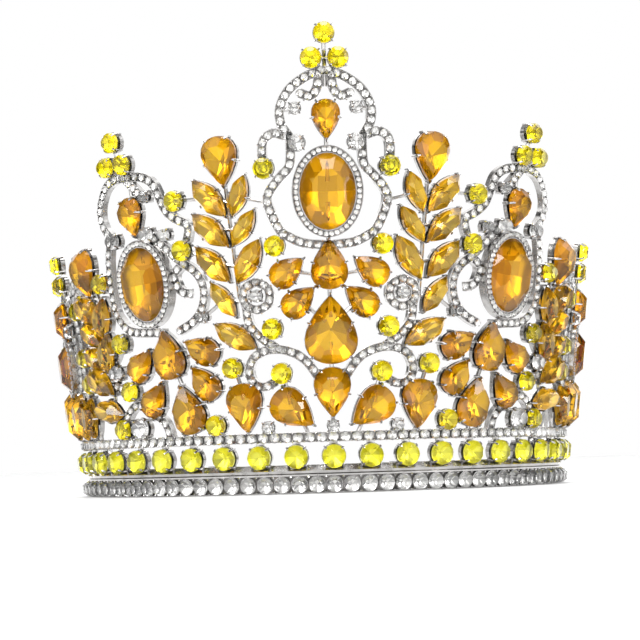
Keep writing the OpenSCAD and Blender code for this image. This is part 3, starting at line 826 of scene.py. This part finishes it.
CLAW_SHARES = {
    "oval": (), "side_oval": (),
    "drop": (0.0, 0.22, 0.4, 0.6, 0.78),
    "pear": (0.0, 0.24, 0.42, 0.58, 0.76),
    "bud": (0.0, 0.26, 0.42, 0.58, 0.74),
    "leaf": (0.0, 0.25, 0.5, 0.75),
    "slim": (0.0, 0.25, 0.5, 0.75),
}
ROUND_SHARES = (0.125, 0.375, 0.625, 0.875)

cups, claws = [], []
big_claw, small_claw = claw(GIRDLE_H + SEAT + 0.6), claw(GIRDLE_H + SEAT + 0.1, 0.34, 0.6)


def set_stone(kind, seat):
    cups.append((CUPS[kind], seat))
    tall = big_claw if kind in ("drop", "pear", "bud") else small_claw
    for foot in claw_seats(kind, CLAW_SHARES.get(kind, ROUND_SHARES), seat):
        claws.append((tall, foot @ Matrix.Translation((0, 0, -SEAT + CLAW_SINK))))


def seat_of(row, side):
    """Seat of a stone given by its cut, angle, share and turn."""
    return wall_seat(side * row[1], field_z(row[2]), side * row[3], SEAT)


def main_stone(node, row, side):
    seat = seat_of(row, side)
    piece(node + "_cut", [(CUTS[row[0]], seat)], AMBER, [node])
    set_stone(row[0], seat)


def add_stone(field, row, side):
    seat = seat_of(row, side)
    field.append((CUTS[row[0]], seat))
    set_stone(row[0], seat)


for name, *row in CENTRE:
    main_stone(name, row, 1)
for word, side in SIDES:
    for name, *row in MAIN:
        main_stone(word + "_" + name, row, side)

leaves, yellows, clears = [], [], []
add_stone(yellows, ("yellow", 0, TOP_SHARE, 0), 1)
add_stone(clears, ("small_clear", 0, FOOT_SHARE, 0), 1)
for side in (1, -1):
    for row in LEAVES:
        add_stone(leaves, row, side)
    for angle, share in YELLOWS:
        add_stone(yellows, ("yellow", angle, share, 0), side)
    for row in CLEARS:
        add_stone(clears, (*row, 0), side)
piece("leaf_stones_cut", leaves, HONEY, ["leaf_stones"])
piece("yellow_stones_cut", yellows, YELLOW, ["yellow_stones"])
piece("clear_stones_cut", clears, CLEAR, ["clear_stones"])


def row_of(kind, gap, z):
    """Step between the stones of a row, in degrees, and how many stand on each side."""
    step = math.degrees((STONES[kind][0] + gap) / wall_r(z))
    return step, math.floor((BAND_END - ROW_MARGIN) / step)


yellow_step, yellow_count = row_of("row_yellow", ROW_YELLOW_GAP, ROW_Z)
yellow_angles = [i * yellow_step for i in range(-yellow_count, yellow_count + 1)]
yellow_seats = [wall_seat(angle, ROW_Z, 0, RAIL_SEAT) for angle in yellow_angles]
yellow_row = [(CUTS["row_yellow"], seat) for seat in yellow_seats]
piece("yellow_row_cut", yellow_row, LIME, ["yellow_row"])
for seat in yellow_seats:
    set_stone("row_yellow", seat)
clear_step, clear_count = row_of("row_clear", ROW_CLEAR_GAP, LOWER_MID)
clear_seats = [
    wall_seat(i * clear_step, LOWER_MID, 0, RAIL_SEAT) for i in range(-clear_count, clear_count + 1)
]
clear_row = [(CUTS["row_clear"], seat) for seat in clear_seats]
piece("clear_row_cut", clear_row, CLEAR, ["clear_row"])

# Rails, ribbon and posts of the band, each section given down the wall and out of it
RAIL_TRAY = [(-2.8, 0), (2.56, 0), (2.56, 1.75), (2.2, 1.75), (2.2, 0.75), (-2.35, 0.75),
             (-2.35, 1.75), (-2.8, 1.75)]
# Beds under the stones are set in slot 1, the darker plate of painted shade.
RAIL_BED = [(-2.3, 0.7), (2.15, 0.7), (2.15, 0.9), (-2.3, 0.9)]
RIBBON = [(-1.3, 0), (1.3, 0), (1.3, 1.2), (0.9, 1.7), (0.2, 1.8), (-0.5, 1.2), (-1.3, 0.45)]
UPPER_TRAY = tray(UPPER_RAIL_H / 2, 1.2, RIM_H)
UPPER_BED = block(1.17, 1.1, 1.3)


def band_bar(z, profile, inset=0.0, **how):
    end = BAND_END - inset
    return bar(level_frames(z, -end, end, BAR_STEP), profile, **how)


rails = [
    band_bar(LOWER_MID, RAIL_TRAY),
    band_bar(LOWER_MID, RAIL_BED, BED_INSET, slot=1),
    band_bar(LOWER_RAIL_H + RIBBON_H / 2, RIBBON),
    band_bar(UPPER_MID, UPPER_TRAY),
    band_bar(UPPER_MID, UPPER_BED, BED_INSET, slot=1),
]
piece("band_rails", rails, [SILVER, BED_SILVER_PAINTED_SHADE], ["crown_frame"], smooth=True)

row_cup = cup_of("row_clear", 0.22, -RAIL_SEAT + 0.2, 0.25, 16)
row_bead = grain(0.42)
row_beads = [
    (row_bead, wall_seat((i + 0.5) * clear_step, z, 0, ROW_BEAD_OUT))
    for i in range(-clear_count, clear_count)
    for z in (ROW_BEAD_INSET, LOWER_RAIL_H - ROW_BEAD_INSET)
]
piece("row_cups", [(row_cup, seat) for seat in clear_seats], [SILVER], ["crown_frame"])
piece("row_beads", row_beads, [CLAW_SILVER], ["crown_frame"], smooth=True)

POST = [(-POST_W / 2, 0), (POST_W / 2, 0), (POST_W / 2, 0.3), (POST_W / 2 - 0.3, 0.42),
        (-POST_W / 2 + 0.3, 0.42), (-POST_W / 2, 0.3)]
END_POST = block(0.9, 0.1, 1.8)
posts = [
    bar(upright_frames(angle, LOWER_RAIL_H + POST_LAP, UPPER_MID, 4), POST)
    for angle in yellow_angles
]
for side in (1, -1):
    posts.append(bar(upright_frames(side * BAND_END, END_POST_FOOT, BAND_TOP, 6), END_POST))
piece("band_posts", posts, [SILVER], ["crown_frame"], smooth=True)

# Slotted lugs at the ends of the band
LUG_START, LUG_END = BAND_END - LUG_LAP, BAND_END + LUG_ANGLE
slot_mid = BAND_END + LUG_ANGLE / 2
slot_half = math.degrees(SLOT_W / 2 / wall_r(STRAP_Z))
level_bar, upright_bar = block(LUG_BAR_H / 2, 0.1, 1.5), block(LUG_HALF_H, 0.1, 1.5)
below = STRAP_Z - STRAP_GAP - LUG_BAR_H / 2
above = STRAP_Z + STRAP_W + STRAP_GAP + LUG_BAR_H / 2
lugs = []
for side in (1, -1):
    for z, start, end, section in (
        (below, LUG_START, LUG_END, level_bar),
        (above, LUG_START, LUG_END, level_bar),
        (STRAP_Z + STRAP_W / 2, LUG_START, slot_mid - slot_half, upright_bar),
        (STRAP_Z + STRAP_W / 2, slot_mid + slot_half, LUG_END, upright_bar),
    ):
        lugs.append(bar(level_frames(z, side * start, side * end, 1), section))
piece("strap_lugs", lugs, [SILVER], ["crown_frame"], smooth=True)

# Pave stones of the upper rail, over its front and sides
rail_stone = small_stone(2.85, 10, 0.75, 0.4)
rail_step = math.degrees(RAIL_PAVE_STEP / wall_r(UPPER_MID))
rail_bead = grain(0.36)
rail_pave, rail_beads = [], []
for i in range(-RAIL_PAVE_EACH_SIDE, RAIL_PAVE_EACH_SIDE + 1):
    rail_pave.append((rail_stone, wall_seat(i * rail_step, UPPER_MID, 0, RAIL_SEAT)))
    for down in (-RAIL_BEAD_DOWN, RAIL_BEAD_DOWN):
        spot = wall_seat((i + 0.5) * rail_step, UPPER_MID - down, 0, RIM_H)
        rail_beads.append((rail_bead, spot))
piece("rail_pave", rail_pave, CLEAR, ["crown_frame"])
piece("rail_beads", rail_beads, [CLAW_SILVER], ["crown_frame"], smooth=True)

# Scroll bands with their pave stones
CHANNEL = tray(SCROLL_W / 2, 1.2, RIM_H)
CHANNEL_BED = block(1.12, 1.1, 1.22)
scroll_stone = small_stone(2.2, 8, 0.55, 0.3)
scroll_bead = grain(0.3)
channels, scroll_pave, scroll_beads = [], [], []
for side in (1, -1):
    for scroll in SCROLLS:
        path = mirrored(scroll, side)
        run = path_frames(smooth_path(path, SCROLL_STEP))
        channels.append(bar(run, CHANNEL))
        channels.append(bar(run[:1] + run[2:-2] + run[-1:], CHANNEL_BED, slot=1))
        places = path_frames(smooth_path(path, PAVE_STEP))
        for place in places:
            scroll_pave.append((scroll_stone, place @ Matrix.Translation((0, 0, SCROLL_PAVE_OUT))))
        for place in places[:-1]:
            for across in (-SCROLL_BEAD_ACROSS, SCROLL_BEAD_ACROSS):
                spot = Matrix.Translation((across, PAVE_STEP / 2, SCROLL_BEAD_OUT))
                scroll_beads.append((scroll_bead, place @ spot))
piece("scroll_channels", channels, [SILVER, BED_SILVER_PAINTED_SHADE], ["crown_frame"], smooth=True)
piece("scroll_pave", scroll_pave, CLEAR, ["crown_frame"])
piece("scroll_beads", scroll_beads, [CLAW_SILVER], ["crown_frame"], smooth=True)

# Halo of small stones round each oval
HALO = tray(1.05, 0.5, HALO_SEAT, base=-2)
HALO_BED = block(0.82, 0.4, 0.58)
halo_stone = small_stone(1.42, 8, 0.45, 0.3)
ovals = [(row, 1) for _, *row in CENTRE if row[0] == "oval"]
ovals += [(row, side) for _, *row in MAIN if "oval" in row[0] for side in (1, -1)]


def ring_frames(kind, seat):
    """Frames round an oval: X across the ring, Y along it and Z out of the wall."""
    points = [Vector((x, y, 0)) for x, y in outline(kind, HALO_STEPS, HALO_GROW)]
    frames = []
    for i, p in enumerate(points):
        along = (points[(i + 1) % HALO_STEPS] - points[i - 1]).normalized()
        across = along.cross(Vector((0, 0, 1)))
        turned = Matrix((across, along, (0, 0, 1))).transposed().to_4x4()
        frames.append(seat @ Matrix.Translation(p) @ turned)
    return frames + frames[:1]


def ring_places(kind):
    """Even places for the stones of a halo, on the middle line of its ring."""
    ring = outline(kind, OUTLINE_STEPS, HALO_GROW)
    run = [0.0]
    for p, q in zip(ring, ring[1:] + ring[:1]):
        run.append(run[-1] + math.dist(p, q))
    count = HALO_COUNTS[kind]
    marks = [int(np.searchsorted(run, run[-1] * (k + 0.5) / count)) for k in range(count)]
    return [ring[i % OUTLINE_STEPS] for i in marks]


halo_rings, halo_pave = [], []
for row, side in ovals:
    seat = seat_of(row, side)
    frames = ring_frames(row[0], seat)
    halo_rings.append(bar(frames, HALO, ring=True))
    halo_rings.append(bar(frames, HALO_BED, ring=True, slot=1))
    for x, y in ring_places(row[0]):
        halo_pave.append((halo_stone, seat @ Matrix.Translation((x, y, HALO_SEAT))))
piece("halo_rings", halo_rings, [SILVER, BED_SILVER_PAINTED_SHADE], ["crown_frame"], smooth=True)
piece("halo_pave", halo_pave, CLEAR, ["crown_frame"])

# Plain stems
WIRE = [
    (0.6 * math.cos(t), 0.75 + 0.7 * math.sin(t)) for t in [math.pi * k / 4 for k in range(8)]
]
stem_paths = list(MIDDLE_STEMS)
for side in (1, -1):
    stem_paths += [mirrored(stem, side) for stem in SIDE_STEMS]
stems = [bar(path_frames(smooth_path(path, STEM_STEP)), WIRE) for path in stem_paths]
piece("stems", stems, [SILVER], ["crown_frame"], smooth=True)
piece("stone_cups", cups, [SILVER], ["crown_frame"], smooth=True)
piece("stone_claws", claws, [CLAW_SILVER], ["crown_frame"], smooth=True)

for name in ("left_strap", "right_strap"):
    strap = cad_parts[name]
    strap.data.materials.clear()
    strap.data.materials.append(STEEL)

# Floor, light and camera
bm = bmesh.new()
bmesh.ops.create_grid(bm, x_segments=1, y_segments=1, size=4)
floor_mesh = bpy.data.meshes.new("floor")
bm.to_mesh(floor_mesh)
bm.free()
floor = bpy.data.objects.new("floor", floor_mesh)
bpy.context.scene.collection.objects.link(floor)
floor_paint, *_, floor_shader = new_material("pale_floor")
floor_shader.inputs["Base Color"].default_value = (0.66, 0.66, 0.66, 1)
floor_shader.inputs["Roughness"].default_value = 0.6
floor_shader.inputs["Emission Color"].default_value = (1, 1, 1, 1)
floor_shader.inputs["Emission Strength"].default_value = 0.22
floor_mesh.materials.append(floor_paint)


LIT_POINT = Vector((0, 0, 0.07))


def soft_light(name, place, size, watts):
    lamp = bpy.data.lights.new(name, "AREA")
    lamp.energy = watts
    lamp.shape = "RECTANGLE"
    lamp.size = size
    lamp.size_y = size
    made = bpy.data.objects.new(name, lamp)
    made.location = place
    made.rotation_euler = (LIT_POINT - Vector(place)).to_track_quat("-Z", "Y").to_euler()
    bpy.context.scene.collection.objects.link(made)


soft_light("key_light", (-0.5, -0.8, 0.75), 0.4, 7)
soft_light("fill_light", (0.75, -0.65, 0.4), 0.25, 3)
soft_light("top_light", (0, -0.1, 1.0), 0.5, 5)
soft_light("back_light", (0.1, 0.9, 0.5), 1.2, 5)

world = bpy.data.worlds.new("studio")
bpy.context.scene.world = world
world.use_nodes = True
nodes, links = world.node_tree.nodes, world.node_tree.links
sky = nodes["Background"]
place = nodes.new("ShaderNodeTexCoord")
cards = nodes.new("ShaderNodeTexVoronoi")
cards.inputs["Scale"].default_value = 3.2
links.new(place.outputs["Generated"], cards.inputs["Vector"])
split = nodes.new("ShaderNodeSeparateColor")
links.new(cards.outputs["Color"], split.inputs["Color"])
spread = nodes.new("ShaderNodeValToRGB")
spread.color_ramp.interpolation = "CONSTANT"
spread.color_ramp.elements[0].color = (0.05, 0.05, 0.05, 1)
spread.color_ramp.elements[1].position = 0.2
spread.color_ramp.elements[1].color = (0.55, 0.55, 0.55, 1)
for position, bright in ((0.4, 1.2), (0.86, 3.0)):
    stop = spread.color_ramp.elements.new(position)
    stop.color = (bright, bright, bright, 1)
links.new(split.outputs["Red"], spread.inputs["Fac"])
seen = nodes.new("ShaderNodeLightPath")
backdrop = nodes.new("ShaderNodeMix")
backdrop.data_type = "FLOAT"
backdrop.inputs["B"].default_value = 1.0
links.new(seen.outputs["Is Camera Ray"], backdrop.inputs["Factor"])
links.new(spread.outputs["Color"], backdrop.inputs["A"])
links.new(backdrop.outputs["Result"], sky.inputs["Strength"])
sky.inputs["Color"].default_value = (1, 1, 1, 1)

camera_data = bpy.data.cameras.new("camera")
camera = bpy.data.objects.new("camera", camera_data)
bpy.context.scene.collection.objects.link(camera)
camera.location = (-0.0205, -0.56, 0.009)
yaw, pitch, roll = math.radians(2.05), math.radians(4.5), math.radians(-1.7)
ahead = Vector((
    math.sin(yaw) * math.cos(pitch), math.cos(yaw) * math.cos(pitch), math.sin(pitch)
))
level = ahead.to_track_quat("-Z", "Y")
camera.rotation_euler = (level @ Quaternion((0, 0, 1), roll)).to_euler()
camera_data.sensor_width = 36
camera_data.lens = 100.6
camera_data.clip_start = 0.01
bpy.context.scene.camera = camera
bpy.context.scene.view_settings.view_transform = "Standard"
bpy.context.scene.cycles.caustics_reflective = False
bpy.context.scene.cycles.caustics_refractive = False
